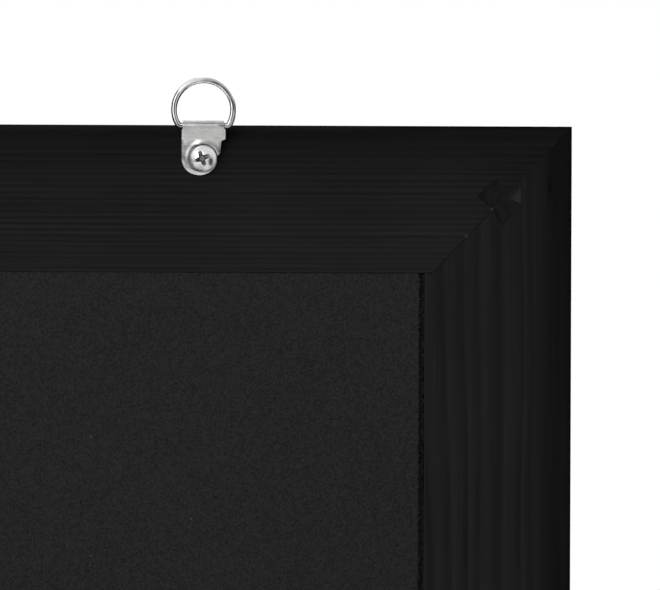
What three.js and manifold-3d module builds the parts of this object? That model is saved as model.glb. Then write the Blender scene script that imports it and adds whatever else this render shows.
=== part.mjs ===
// A framed wall chalkboard. Its writing side faces -Y, its wall side faces +Y, and +Z is up.
// Four mitred rails are locked at the corners by dovetail keys let in from the back. They hold a
// laminated panel in a rabbet, and two hinged rings on folded straps carry the board on a wall.
// The origin is the middle of the bottom rail's flat back face, so y = 0 is the plane of the wall.

import * as THREE from "three";
import { mergeVertices } from "three/addons/utils/BufferGeometryUtils.js";
import Module from "manifold-3d";

const wasm = await Module();
wasm.setup();

// Frame, in millimetres
const boardWidth = 600;
const boardHeight = 800;
const railDepth = 15;
const railBackWidth = 40;
const lipWidth = 6;
const rabbetDepth = 5;
const backRoundWidth = 10;
const backRoundDepth = 7;
const frontRound = 4;
const lipRound = 2;
const arris = 0.5;
const mitreGap = 0.2;

// Dovetail keys across the mitres
const keyLength = 10;
const keyEndWidth = 7.8;
const keyWaistWidth = 5.7;
const keyThickness = 9.5;
const keyRecess = 1;
const keyClearance = 0.15;

// Panel, from the writing side to the wall side, and its bonding strips
const chalkThickness = 0.75;
const coreThickness = 3;
const backingThickness = 0.25;
const bondThickness = 0.5;
const bondWidth = 3;
const bondInset = 0.8;
const panelTightGap = 0.3;
const panelLooseGap = 1.6;

// Hanging rings
const hangerInset = 100;
const ringRadius = 8;
const ringWireRadius = 0.875;
const ringBarDrop = 4.55;
const ringBendRadius = 1;

// Folded straps that hold the rings
const strapThickness = 0.7;
const strapFoldGap = 0.1;
const strapRise = 1.5;
const strapShoulderDrop = 3.8;
const strapEndDrop = 8.3;
const strapEndRadius = 5.3;
const strapHoleRadius = 2.2;
const loopClearance = 0.2;
const barEndClearance = 0.13;

// Pan-head screws
const screwHeadRadius = 3.55;
const screwHeadHeight = 2.4;
const screwHeadSide = 0.7;
const screwLength = 12;
const screwNeck = 1.6;
const screwTip = 3;
const screwCoreRadius = 1.2;
const screwCrestRadius = 1.75;
const screwPitch = 1.3;
const screwSag = 0.3;
const screwHoleClearance = 0.15;
const recessLength = 4;
const recessWidth = 1.05;
const recessDepth = 1.6;
const recessTurn = THREE.MathUtils.degToRad(18);

// Facets
const arcSteps = 4;
const ringArcSteps = 32;
const ringBendSteps = 4;
const wireSides = 12;
const screwSides = 16;
const rowsPerTurn = 5;
const domeSteps = 6;

// One overrun for every cutter
const overrun = 1;

// Planes and edges that several pieces share
const frameBottom = -(backRoundWidth + railBackWidth) / 2;
const frameTop = frameBottom + boardHeight;
const frameMiddle = (frameBottom + frameTop) / 2;
const wallPlane = 0;
const lipPlane = -rabbetDepth;
const chalkFront = lipPlane + bondThickness;
const coreFront = chalkFront + chalkThickness;
const backingFront = coreFront + coreThickness;
const panelBack = backingFront + backingThickness;
const keyBack = wallPlane - keyRecess;
const keyFront = keyBack - keyThickness;
const keyInset = railBackWidth / 2;

// The ring's bar runs in the strap's loop
const strapBack = 2 * strapThickness + strapFoldGap;
const loopAxis = strapBack / 2;
const loopInnerRadius = ringWireRadius + loopClearance;
const loopOuterRadius = loopInnerRadius + strapThickness;
const barHeight = frameTop + strapRise - loopOuterRadius;
const bendReach = ringRadius - ringBendRadius;
const bendRise = ringBarDrop - ringBendRadius;
const barHalfLength = Math.sqrt(bendReach ** 2 - bendRise ** 2);
const strapLoopWidth = 2 * (barHalfLength - barEndClearance);
const strapEndHeight = frameTop - strapEndDrop - barHeight;
const strapShoulderHeight = frameTop - strapShoulderDrop - barHeight;
const screwHeight = strapEndHeight - screwSag;

const quarterTurn = Math.PI / 2;
const halfTurn = Math.PI;
const fullTurn = 2 * Math.PI;

// Colour, roughness and metalness of each finish
const finishes = {
  lacquer: { color: 0x1b1b1c, roughness: 0.6, metalness: 0 },
  keyWood: { color: 0x141414, roughness: 0.75, metalness: 0 },
  chalkCoat: { color: 0x222423, roughness: 0.9, metalness: 0 },
  fibreboard: { color: 0x6e4c26, roughness: 0.95, metalness: 0 },
  backing: { color: 0x252526, roughness: 0.85, metalness: 0 },
  bond: { color: 0xd8d2c0, roughness: 0.8, metalness: 0 },
  strapSteel: { color: 0xc4c6c9, roughness: 0.38, metalness: 1 },
  ringSteel: { color: 0xb9bbbe, roughness: 0.24, metalness: 1 },
  screwSteel: { color: 0xd9dbdd, roughness: 0.3, metalness: 1 },
};

const chalkboard = new THREE.Group();

// Adds a geometry to a group as one named piece.
function addPiece(group, name, geometry, finish) {
  const mesh = new THREE.Mesh(geometry, new THREE.MeshStandardMaterial(finishes[finish]));
  mesh.name = name;
  group.add(mesh);
  return mesh;
}

// Turns a closed geometry into a solid for booleans.
function solidOf(geometry) {
  const bare = geometry.clone();
  bare.deleteAttribute("normal");
  bare.deleteAttribute("uv");
  const merged = mergeVertices(bare);
  return new wasm.Manifold(
    new wasm.Mesh({
      numProp: 3,
      vertProperties: merged.getAttribute("position").array,
      triVerts: new Uint32Array(merged.index.array),
    }),
  );
}

function geometryOf(solid) {
  const mesh = solid.getMesh();
  const geometry = new THREE.BufferGeometry();
  geometry.setAttribute("position", new THREE.BufferAttribute(mesh.vertProperties, 3));
  geometry.setIndex(new THREE.BufferAttribute(mesh.triVerts, 1));
  geometry.computeVertexNormals();
  return geometry;
}

function cutAway(geometry, cutters) {
  let solid = solidOf(geometry);
  for (const cutter of cutters) {
    solid = solid.subtract(solidOf(cutter));
  }
  return geometryOf(solid);
}

// Moves a vertex at the start of a unit extrusion to low, and one at its end to high.
function stretch(geometry, getter, setter, low, high) {
  const place = geometry.getAttribute("position");
  for (let i = 0; i < place.count; i += 1) {
    place[setter](i, place[getter](i) === 0 ? low : high);
  }
  return geometry;
}

// A slab with an outline drawn in X and Z, between the planes y = back and y = front.
function slab(outline, back, front) {
  const options = { depth: 1, bevelEnabled: false, curveSegments: arcSteps };
  const geometry = new THREE.ExtrudeGeometry(outline, options);
  const axes = new THREE.Matrix4().makeBasis(
    new THREE.Vector3(1, 0, 0),
    new THREE.Vector3(0, 0, 1),
    new THREE.Vector3(0, -1, 0),
  );
  geometry.applyMatrix4(axes);
  return stretch(geometry, "getY", "setY", back, front);
}

// A prism with a section drawn in Y and Z, between x = left and x = right.
function prism(section, left, right) {
  const options = { depth: 1, bevelEnabled: false, curveSegments: arcSteps };
  const geometry = new THREE.ExtrudeGeometry(section, options);
  const axes = new THREE.Matrix4().makeBasis(
    new THREE.Vector3(0, 1, 0),
    new THREE.Vector3(0, 0, 1),
    new THREE.Vector3(1, 0, 0),
  );
  geometry.applyMatrix4(axes);
  return stretch(geometry, "getX", "setX", left, right);
}

function rectangle(left, right, low, high) {
  const shape = new THREE.Shape();
  shape.moveTo(left, low);
  shape.lineTo(right, low);
  shape.lineTo(right, high);
  shape.lineTo(left, high);
  return shape;
}

// The rail's section: depth to the left of the wall plane, the outer edge at height zero.
function railSection() {
  const inner = -(railBackWidth + lipWidth);
  const section = new THREE.Shape();
  section.moveTo(wallPlane, -backRoundWidth);
  section.lineTo(wallPlane, arris - railBackWidth);
  section.lineTo(wallPlane - arris, -railBackWidth);
  section.lineTo(lipPlane, -railBackWidth);
  section.lineTo(lipPlane, inner);
  section.lineTo(lipRound - railDepth, inner);
  section.absarc(lipRound - railDepth, inner + lipRound, lipRound, -quarterTurn, -halfTurn, true);
  section.lineTo(-railDepth, -frontRound);
  section.absarc(frontRound - railDepth, -frontRound, frontRound, halfTurn, quarterTurn, true);
  section.lineTo(-backRoundDepth, 0);
  section.absellipse(
    -backRoundDepth,
    -backRoundWidth,
    backRoundDepth,
    backRoundWidth,
    quarterTurn,
    0,
    true,
  );
  return section;
}

// The bow-tie outline of a dovetail key, its length along X, grown all round by a clearance.
function keyOutline(growth) {
  const reach = keyLength / 2 + growth;
  const wide = keyEndWidth / 2 + growth;
  const waist = keyWaistWidth / 2 + growth;
  const shape = new THREE.Shape();
  shape.moveTo(-reach, -wide);
  shape.lineTo(0, -waist);
  shape.lineTo(reach, -wide);
  shape.lineTo(reach, wide);
  shape.lineTo(0, waist);
  shape.lineTo(-reach, wide);
  return shape;
}

// Half of a key's slot, in the frame of a rail that lies along X with its outer edge at z = 0.
function keySlot(railLength, end) {
  const cutter = slab(keyOutline(keyClearance), wallPlane + overrun, keyFront);
  cutter.rotateY((end * quarterTurn) / 2);
  cutter.translate(end * (railLength / 2 - keyInset), 0, -keyInset);
  return cutter;
}

// A rail along X with both ends cut on the mitre and a half slot for a key in each.
function railGeometry(railLength) {
  const geometry = prism(railSection(), -1, 1);
  const place = geometry.getAttribute("position");
  const halfLength = railLength / 2 - mitreGap / Math.SQRT2;
  for (let i = 0; i < place.count; i += 1) {
    place.setX(i, place.getX(i) * (halfLength + place.getZ(i)));
  }
  return cutAway(geometry, [keySlot(railLength, -1), keySlot(railLength, 1)]);
}

// The blind hole that a hanger's screw runs into, in the top rail's frame.
function screwHole(side) {
  const radius = screwCrestRadius + screwHoleClearance;
  const depth = screwLength - strapBack + screwHoleClearance + overrun;
  const cutter = new THREE.CylinderGeometry(radius, radius, depth, screwSides);
  const height = barHeight + screwHeight - frameTop;
  return cutter.translate(side * (boardWidth / 2 - hangerInset), overrun - depth / 2, height);
}

function addRails() {
  const across = boardWidth / 2;
  const topRail = cutAway(railGeometry(boardWidth), [screwHole(-1), screwHole(1)]);
  const top = addPiece(chalkboard, "top_rail", topRail, "lacquer");
  top.position.z = frameTop;
  const bottom = addPiece(chalkboard, "bottom_rail", railGeometry(boardWidth), "lacquer");
  bottom.position.z = frameBottom;
  bottom.rotation.y = halfTurn;
  const left = addPiece(chalkboard, "left_rail", railGeometry(boardHeight), "lacquer");
  left.position.set(-across, 0, frameMiddle);
  left.rotation.y = -quarterTurn;
  const right = addPiece(chalkboard, "right_rail", railGeometry(boardHeight), "lacquer");
  right.position.set(across, 0, frameMiddle);
  right.rotation.y = quarterTurn;
}

function addCornerKeys() {
  const columns = [
    { side: "left", sign: -1 },
    { side: "right", sign: 1 },
  ];
  const rows = [
    { level: "top", sign: 1, edge: frameTop },
    { level: "bottom", sign: -1, edge: frameBottom },
  ];
  for (const row of rows) {
    for (const column of columns) {
      const name = `corner_key_${row.level}_${column.side}`;
      const key = addPiece(chalkboard, name, slab(keyOutline(0), keyBack, keyFront), "keyWood");
      const x = column.sign * (boardWidth / 2 - keyInset);
      key.position.set(x, 0, row.edge - row.sign * keyInset);
      key.rotation.y = (column.sign * row.sign * quarterTurn) / 2;
    }
  }
}

function addPanel() {
  const outline = rectangle(
    panelLooseGap + railBackWidth - boardWidth / 2,
    boardWidth / 2 - railBackWidth - panelTightGap,
    frameBottom + railBackWidth + panelLooseGap,
    frameTop - railBackWidth - panelTightGap,
  );
  addPiece(chalkboard, "chalk_face", slab(outline, coreFront, chalkFront), "chalkCoat");
  addPiece(chalkboard, "panel_core", slab(outline, backingFront, coreFront), "fibreboard");
  addPiece(chalkboard, "back_face", slab(outline, panelBack, backingFront), "backing");
}

// The strips that bond the panel to the lip: two along its full width, two upright between them.
function addBondStrips() {
  const inner = railBackWidth + lipWidth - bondInset;
  const outer = inner - bondWidth;
  const acrossOuter = boardWidth / 2 - outer;
  const acrossInner = boardWidth / 2 - inner;
  const strips = [
    ["bond_strip_top", rectangle(-acrossOuter, acrossOuter, frameTop - inner, frameTop - outer)],
    [
      "bond_strip_bottom",
      rectangle(-acrossOuter, acrossOuter, frameBottom + outer, frameBottom + inner),
    ],
  ];
  const low = frameBottom + inner + bondInset;
  const high = frameTop - inner - bondInset;
  strips.push(["bond_strip_left", rectangle(-acrossOuter, -acrossInner, low, high)]);
  strips.push(["bond_strip_right", rectangle(acrossInner, acrossOuter, low, high)]);
  for (const [name, outline] of strips) {
    addPiece(chalkboard, name, slab(outline, chalkFront, lipPlane), "bond");
  }
}

function arcPoints(x, z, radius, from, to, steps) {
  const points = [];
  for (let i = 0; i <= steps; i += 1) {
    const angle = from + ((to - from) * i) / steps;
    points.push(new THREE.Vector2(x + radius * Math.cos(angle), z + radius * Math.sin(angle)));
  }
  return points;
}

// The wire's centre line: a straight bar at height zero, two bends and the arc over the top.
function ringPath() {
  const bendAngle = Math.atan2(-bendRise, barHalfLength);
  const arc = arcPoints(0, ringBarDrop, ringRadius, bendAngle, halfTurn - bendAngle, ringArcSteps);
  const bend = arcPoints(
    barHalfLength,
    ringBendRadius,
    ringBendRadius,
    -quarterTurn,
    bendAngle,
    ringBendSteps,
  );
  const farBend = bend.map((point) => new THREE.Vector2(-point.x, point.y)).reverse();
  bend.pop();
  farBend.shift();
  return [...bend, ...arc, ...farBend];
}

// A round wire bent along a closed path in the X-Z plane.
function closedWire(path, radius, sides) {
  const positions = [];
  const indices = [];
  const count = path.length;
  path.forEach((point, i) => {
    const before = path[(i + count - 1) % count];
    const after = path[(i + 1) % count];
    const along = after.clone().sub(before).normalize();
    for (let j = 0; j < sides; j += 1) {
      const angle = (fullTurn * j) / sides;
      const out = radius * Math.cos(angle);
      positions.push(point.x + along.y * out, radius * Math.sin(angle), point.y - along.x * out);
      const next = (j + 1) % sides;
      const here = i * sides;
      const there = ((i + 1) % count) * sides;
      indices.push(here + j, there + next, there + j);
      indices.push(here + j, here + next, there + next);
    }
  });
  const geometry = new THREE.BufferGeometry();
  geometry.setAttribute("position", new THREE.Float32BufferAttribute(positions, 3));
  geometry.setIndex(indices);
  geometry.computeVertexNormals();
  return geometry;
}

// One strip of sheet folded double, with the loop for the ring's bar at the fold. Drawn in Y and Z.
function strapSection() {
  const innerFace = strapThickness;
  const outerFace = strapThickness + strapFoldGap;
  const low = strapEndHeight - strapEndRadius - overrun;
  const outerAngle = Math.asin(loopAxis / loopOuterRadius);
  const innerAngle = Math.asin(strapFoldGap / 2 / loopInnerRadius);
  const section = new THREE.Shape();
  section.moveTo(wallPlane, low);
  section.absarc(
    loopAxis,
    0,
    loopOuterRadius,
    -quarterTurn - outerAngle,
    outerAngle - quarterTurn - fullTurn,
    true,
  );
  section.lineTo(strapBack, low);
  section.lineTo(outerFace, low);
  section.absarc(
    loopAxis,
    0,
    loopInnerRadius,
    innerAngle - quarterTurn,
    fullTurn - quarterTurn - innerAngle,
    false,
  );
  section.lineTo(innerFace, low);
  return section;
}

// The strap's outline in X and Z: square shoulders by the loop, a round end and the screw's hole.
function strapOutline() {
  const half = strapLoopWidth / 2;
  const high = loopOuterRadius + overrun;
  const outline = new THREE.Shape();
  outline.moveTo(-half, high);
  outline.lineTo(-half, strapShoulderHeight);
  outline.lineTo(-strapEndRadius, strapShoulderHeight);
  outline.absarc(0, strapEndHeight, strapEndRadius, halfTurn, fullTurn, false);
  outline.lineTo(strapEndRadius, strapShoulderHeight);
  outline.lineTo(half, strapShoulderHeight);
  outline.lineTo(half, high);
  const hole = new THREE.Path();
  hole.absarc(0, strapEndHeight, strapHoleRadius, 0, fullTurn, false);
  outline.holes.push(hole);
  return outline;
}

function strapGeometry() {
  const folded = solidOf(prism(strapSection(), -strapLoopWidth, strapLoopWidth));
  const front = loopAxis - loopOuterRadius - overrun;
  const back = loopAxis + loopOuterRadius + overrun;
  return geometryOf(folded.intersect(solidOf(slab(strapOutline(), back, front))));
}

// How far the thread stands out of the core at a height below the head, for an angle of turn.
function threadRadius(height, angle) {
  const turns = height / screwPitch + angle / fullTurn;
  const crest = Math.abs(2 * (turns - Math.floor(turns)) - 1);
  const run = Math.min((height + screwLength) / screwTip, 1);
  return run * (screwCoreRadius + (screwCrestRadius - screwCoreRadius) * crest);
}

// The screw along Y, its head's flat underside at y = 0.
function screwGeometry() {
  const profile = [new THREE.Vector2(0, -screwLength)];
  const threaded = screwLength - screwNeck;
  const rows = Math.ceil((threaded / screwPitch) * rowsPerTurn);
  for (let i = 1; i <= rows; i += 1) {
    profile.push(new THREE.Vector2(screwCoreRadius, (threaded * i) / rows - screwLength));
  }
  profile.push(new THREE.Vector2(screwCoreRadius, 0));
  profile.push(new THREE.Vector2(screwHeadRadius, 0));
  const dome = screwHeadHeight - screwHeadSide;
  for (let i = 0; i < domeSteps; i += 1) {
    const angle = (quarterTurn * i) / domeSteps;
    const height = screwHeadSide + dome * Math.sin(angle);
    profile.push(new THREE.Vector2(screwHeadRadius * Math.cos(angle), height));
  }
  profile.push(new THREE.Vector2(0, screwHeadHeight));
  const geometry = new THREE.LatheGeometry(profile, screwSides);
  const place = geometry.getAttribute("position");
  for (let i = 0; i < place.count; i += 1) {
    const height = place.getY(i);
    if (height > -screwLength && height < -screwNeck) {
      const angle = Math.atan2(place.getX(i), place.getZ(i));
      const radius = threadRadius(height, angle);
      place.setX(i, radius * Math.sin(angle));
      place.setZ(i, radius * Math.cos(angle));
    }
  }
  const slots = [0, quarterTurn].map((turn) => {
    const slot = new THREE.BoxGeometry(recessLength, 2 * recessDepth, recessWidth);
    return slot.rotateY(turn + recessTurn).translate(0, screwHeadHeight, 0);
  });
  return cutAway(geometry, slots);
}

function addHanger(side, sign) {
  const hanger = new THREE.Group();
  hanger.position.set(sign * (boardWidth / 2 - hangerInset), 0, barHeight);
  chalkboard.add(hanger);
  addPiece(hanger, `hanger_strap_${side}`, strapGeometry(), "strapSteel");
  const wire = closedWire(ringPath(), ringWireRadius, wireSides);
  addPiece(hanger, `hanger_ring_${side}`, wire, "ringSteel").position.y = loopAxis;
  const screw = addPiece(hanger, `hanger_screw_${side}`, screwGeometry(), "screwSteel");
  screw.position.set(0, strapBack, screwHeight);
}

addRails();
addCornerKeys();
addPanel();
addBondStrips();
addHanger("left", -1);
addHanger("right", 1);

export default chalkboard;
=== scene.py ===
"""The looks of a wall chalkboard, photographed from behind: black stained rails with dovetail keys in
their mitres, a speckled panel back with a frayed edge, and hinged wire rings on folded steel straps.
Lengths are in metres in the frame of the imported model: +Y is the wall side, which the camera faces."""

import math

import bmesh
import bpy
import numpy as np
from mathutils import Matrix, Vector


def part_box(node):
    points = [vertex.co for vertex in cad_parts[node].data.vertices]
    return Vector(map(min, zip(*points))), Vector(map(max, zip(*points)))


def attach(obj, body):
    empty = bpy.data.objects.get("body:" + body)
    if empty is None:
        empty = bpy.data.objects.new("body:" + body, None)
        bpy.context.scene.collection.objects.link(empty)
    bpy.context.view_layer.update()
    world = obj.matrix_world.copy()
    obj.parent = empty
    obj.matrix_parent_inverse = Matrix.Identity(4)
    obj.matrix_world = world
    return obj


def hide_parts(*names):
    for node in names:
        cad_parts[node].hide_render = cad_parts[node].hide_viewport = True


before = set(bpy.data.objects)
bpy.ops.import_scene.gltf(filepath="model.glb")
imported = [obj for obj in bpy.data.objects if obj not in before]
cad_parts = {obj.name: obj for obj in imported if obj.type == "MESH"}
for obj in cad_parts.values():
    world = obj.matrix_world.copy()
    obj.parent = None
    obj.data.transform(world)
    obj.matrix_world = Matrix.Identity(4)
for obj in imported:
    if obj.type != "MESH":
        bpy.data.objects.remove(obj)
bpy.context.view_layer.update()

# The frame's outer edges and planes
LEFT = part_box("left_rail")[0].x
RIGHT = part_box("right_rail")[1].x
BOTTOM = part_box("bottom_rail")[0].z
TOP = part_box("top_rail")[1].z
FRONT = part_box("top_rail")[0].y
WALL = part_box("top_rail")[1].y
MIDDLE = Vector(((LEFT + RIGHT) / 2, 0, (BOTTOM + TOP) / 2))

# The rail's section, as in the solids
RAIL_BACK = 0.040
LIP = 0.006
RABBET = 0.005
BACK_ROUND_WIDTH = 0.010
BACK_ROUND_DEPTH = 0.007
FRONT_ROUND = 0.004
LIP_ROUND = 0.002
ARRIS = 0.0002
MITRE_GAP = 0.000006

# The mitres are cut a degree steeper than 45, so that the level rails reach further at their inner edge
MITRE_SLOPE = 0.949

# How finely the rails are drawn, and how deep their grain goes
BACK_STEP = 0.00022
FACE_STEP = 0.0007
EDGE_STEP = 0.0008
ARC_POINTS = 12
STATION = 0.005
MATT_DEPTH = 0.002
GROOVE = 0.00004
GROOVE_START = 0.003

# Grain of every rail: its lines vary in strength along their length, under broad clouds
LINE_WAVES = (0.09, 0.25)
LINE_STRENGTH = 0.85
LINE_SWING = 0.25
BROAD_SPANS = (0.2, 0.012)
BROAD_WEIGHT = 0.12

# Straight grain: even lines
GRAIN_SPACING = 0.00163
GRAIN_JITTER_SHARE = 0.13
SPARE_LINES = 2
STRAIGHT_DROP_SHARE = 0.5
STRAIGHT_LEAST_SHARE = 0.45
STRAIGHT_SWAY = 0.00012
STRAIGHT_SWAY_SPANS = (0.3, 0.05)

# Wavy grain: year rings as shares of the back's width, which wave more towards the rail's inner edge
RING_SHARES = (0.14, 0.275, 0.338, 0.4875, 0.63, 0.7175, 0.8525, 0.9825, 1.12, 1.25, 1.37, 1.5)
RING_DROP_SHARE = 0.25
RING_LEAST_SHARE = 0.7
RING_DRIFT = 0.00135
RING_DRIFT_START = 0.043
RING_DRIFT_WAVE = 0.17
RING_DRIFT_SHARES = (0.5, 0.85)
RING_SWAY = 0.0003
RING_SWAY_SPANS = (0.12, 0.03)

# Painted shade on the back's rounded outer band, with a painted rim highlight and a painted dark line at the
# outer edge: soft runs in from the outer edge or the rail's end, and strengths
OUTLINE = (0.0002, 0.0006)
OUTLINE_SHADE = 0.7
WIDE_BAND = (0.003, 0.019)
WIDE_SWING = 0.001
WIDE_SWING_SPANS = (0.12, 0.02)
WIDE_SHADE = 0.31
RIM = (0.0010, 0.0016)
RIM_LIGHT = 0.52
RIM_START = (0.045, 0.065)
END_BAND = (0.008, 0.028)
END_SHADE = 0.22
OUTER_BAND = (0.021, 0.029)
OUTER_SHADE = 0.1
NARROW_BORDER = 0.0075
NARROW_FADE = (0.0025, 0.0028)
NARROW_SWING = 0.0007
NARROW_SWING_SPANS = (0.05, 0.02)
NARROW_DRIFT_SPANS = (0.3, 0.1)
NARROW_SHADE = 0.1
HALF_BAND = (0.009, 0.0145)
HALF_SHADE = 0.18
ROUND_BAND = (0.002, 0.0055)
ROUND_LIGHT = 0.12
BLOT = (0.0010, 0.0005)
BLOTS = ((0.0166, 0.0062),)
BLOT_SHADE = 0.45

# Dovetail keys
KEY_LENGTH = 0.0104
KEY_ENDS = (0.0081, 0.0075)
KEY_WAIST = 0.0057
KEY_RECESS = 0.0005
KEY_GAP = 0.000008
KEY_SHIFT = (-0.0004, 0.0006)
KEY_TURN = math.radians(48)
KEY_BRIM = 0.00006
KEY_DISH_SHARES = ((0.92, 0.6), (0.82, 0.25), (0.68, 0.03), (0.45, 0.1), (0.2, 0.0))
KEY_WOBBLE = 0.00003
OUTER_JOINT = 0.001
OUTER_JOINT_SHARE = 0.9
# A painted highlight along the rails' inner arris: its share, how much it swings and the wave length of the
# swing
ARRIS_HIGHLIGHT = 0.75
ARRIS_HIGHLIGHT_SWING = 0.25
ARRIS_HIGHLIGHT_WAVE = 0.083
SLOT_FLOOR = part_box("corner_key_top_left")[0].y
KEY_INSET = RAIL_BACK / 2
SLOT_JITTER = 0.00015
SLOT_POINTS = 7
KEY_SEED = 100
OVERRUN = 0.001

# Photo: its size, its scale and where the camera points, from the photographed corner
PHOTO_WIDTH = 660
PHOTO_HEIGHT = 590
PIXELS_PER_MM = 3.69
CORNER_PX = (572.1, 125.1)
MM = 0.001
LENS_MM = 400
SENSOR_MM = 36
CAMERA_ROLL = math.radians(0.23)

SHARP = math.radians(40)
WANDER_WAVES = 6
WANDER_SHARES = (0.5, 1.6)


def clamp(value, low=0.0, high=1.0):
    return np.minimum(np.maximum(value, low), high)


def smoothstep(low, high, value):
    share = clamp((value - low) / (high - low))
    return share * share * (3 - 2 * share)


def soft_line(value, centre, width):
    return np.exp(-(((value - centre) / width) ** 2))


def wander(seed, span_along, span_across):
    """A smooth random field over a surface, about -1 to 1, made of a few waves."""
    source = np.random.default_rng(seed)
    along = source.uniform(*WANDER_SHARES, WANDER_WAVES) / span_along
    across = source.normal(0, 1, WANDER_WAVES) / span_across
    phase = source.uniform(0, 2 * math.pi, WANDER_WAVES)

    def value(s, c):
        total = 0
        for k in range(WANDER_WAVES):
            total = total + np.sin(2 * math.pi * (along[k] * s + across[k] * c) + phase[k])
        return total / math.sqrt(WANDER_WAVES)

    return value


def mesh_object(name, points, faces, material, smooth=True):
    mesh = bpy.data.meshes.new(name)
    mesh.from_pydata([tuple(map(float, p)) for p in points], [], faces)
    mesh.validate()
    work = bmesh.new()
    work.from_mesh(mesh)
    bmesh.ops.recalc_face_normals(work, faces=work.faces)
    work.to_mesh(mesh)
    work.free()
    mesh.polygons.foreach_set("use_smooth", [smooth] * len(mesh.polygons))
    piece = bpy.data.objects.new(name, mesh)
    bpy.context.scene.collection.objects.link(piece)
    if material:
        mesh.materials.append(material)
    return piece


def apply_modifiers(piece):
    """Bakes a piece's modifiers into its mesh."""
    bpy.context.view_layer.update()
    shaped = piece.evaluated_get(bpy.context.evaluated_depsgraph_get())
    mesh = bpy.data.meshes.new_from_object(shaped)
    piece.modifiers.clear()
    piece.data = mesh


def cut(piece, cutters):
    """Takes the cutters out of a piece and removes them."""
    for cutter in cutters:
        modifier = piece.modifiers.new("cut", "BOOLEAN")
        modifier.operation = "DIFFERENCE"
        modifier.solver = "EXACT"
        modifier.material_mode = "TRANSFER"
        modifier.object = cutter
    apply_modifiers(piece)
    for cutter in cutters:
        bpy.data.objects.remove(cutter)


def bevel(piece, width, segments, angle):
    modifier = piece.modifiers.new("bevel", "BEVEL")
    modifier.width = width
    modifier.segments = segments
    modifier.limit_method = "ANGLE"
    modifier.angle_limit = angle
    modifier.harden_normals = False
    apply_modifiers(piece)


def prism(name, outline, low, high, material=None, smooth=False):
    """A closed outline of (x, z) points, drawn between y = low and y = high."""
    count = len(outline)
    points = [(x, low, z) for x, z in outline] + [(x, high, z) for x, z in outline]
    faces = [tuple(range(count)), tuple(range(2 * count - 1, count - 1, -1))]
    for i in range(count):
        j = (i + 1) % count
        faces.append((i, j, count + j, count + i))
    return mesh_object(name, points, faces, material, smooth)


def loft(name, rings, material, closed_ends=True, smooth=True):
    """A surface through rings of equally many points, with its two ends closed."""
    size = len(rings[0])
    points = [p for ring in rings for p in ring]
    faces = []
    for i in range(len(rings) - 1):
        for j in range(size):
            k = (j + 1) % size
            faces.append((i * size + j, i * size + k, (i + 1) * size + k, (i + 1) * size + j))
    if closed_ends:
        faces.append(tuple(range(size)))
        faces.append(tuple(range((len(rings) - 1) * size, len(rings) * size)))
    return mesh_object(name, points, faces, material, smooth)


def keep_attribute(piece, name, values, domain="POINT"):
    attribute = piece.data.attributes.new(name, "FLOAT", domain)
    attribute.data.foreach_set("value", np.asarray(values, np.float32))


def corners_of(piece):
    places = np.zeros(len(piece.data.vertices) * 3)
    piece.data.vertices.foreach_get("co", places)
    return places.reshape(-1, 3)


# Materials


class Nodes:
    """A node tree: add() makes a node and sets or links its inputs."""

    def __init__(self, tree):
        self.tree = tree
        tree.nodes.clear()

    def add(self, kind, inputs=None, **settings):
        made = self.tree.nodes.new("ShaderNode" + kind)
        for key, value in settings.items():
            setattr(made, key, value)
        for key, value in (inputs or {}).items():
            if isinstance(value, bpy.types.NodeSocket):
                self.tree.links.new(value, made.inputs[key])
            else:
                made.inputs[key].default_value = value
        return made

    def math(self, operation, a, b, clamped=False):
        return self.add("Math", {0: a, 1: b}, operation=operation, use_clamp=clamped).outputs[0]

    def total(self, *parts):
        """The parts' sum, held between 0 and 1."""
        value = parts[0]
        for part in parts[1:-1]:
            value = self.math("ADD", value, part)
        return self.math("ADD", value, parts[-1], clamped=True)

    def span(self, value, from_low, from_high, to_low, to_high):
        inputs = {0: value, 1: from_low, 2: from_high, 3: to_low, 4: to_high}
        return self.add("MapRange", inputs).outputs[0]


class Finish(Nodes):
    """A node material over object coordinates, noise and the mesh's own attributes."""

    def __init__(self, name):
        self.material = bpy.data.materials.new(name)
        self.material.use_nodes = True
        super().__init__(self.material.node_tree)

    def attribute(self, name):
        return self.add("Attribute", attribute_name=name).outputs["Fac"]

    def place(self, stretch=(1, 1, 1)):
        """Object coordinates, stretched along each axis."""
        coordinates = self.add("TexCoord").outputs["Object"]
        return self.add("Mapping", {"Vector": coordinates, "Scale": stretch}).outputs["Vector"]

    def noise(self, where, scale, detail=2.0, roughness=0.5):
        inputs = {"Vector": where, "Scale": scale, "Detail": detail, "Roughness": roughness}
        return self.add("TexNoise", inputs).outputs["Fac"]

    def cells(self, where, scale):
        return self.add("TexVoronoi", {"Vector": where, "Scale": scale})

    def over(self, noise, low, high):
        """Noise, which lies mostly within its own usual range, stretched from low to high."""
        return self.span(noise, *NOISE_RANGE, low, high)

    def around(self, noise, reach):
        return self.over(noise, -reach, reach)

    def mix(self, share, first, second):
        made = self.add("Mix", {"Factor": share}, data_type="RGBA")
        for index, colour in ((6, first), (7, second)):
            if isinstance(colour, bpy.types.NodeSocket):
                self.tree.links.new(colour, made.inputs[index])
            else:
                made.inputs[index].default_value = (*colour, 1)
        return made.outputs[2]

    def bump(self, height, distance, strength, under=None):
        inputs = {"Height": height, "Distance": distance, "Strength": strength}
        if under:
            inputs["Normal"] = under
        return self.add("Bump", inputs).outputs["Normal"]

    def shade(self, colour, roughness, normal=None, **constants):
        made = self.add("BsdfPrincipled", {"Base Color": colour, "Roughness": roughness})
        if normal:
            self.tree.links.new(normal, made.inputs["Normal"])
        for key, value in constants.items():
            made.inputs[key.replace("_", " ").title().replace("Ior", "IOR")].default_value = value
        self.add("OutputMaterial", {"Surface": made.outputs[0]})
        return self.material


def grey(level):
    """A linear colour from an sRGB level of 0 to 255."""
    share = level / 255
    linear = share / 12.92 if share <= 0.04045 else ((share + 0.055) / 1.055) ** 2.4
    return (linear, linear, linear)


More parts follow.
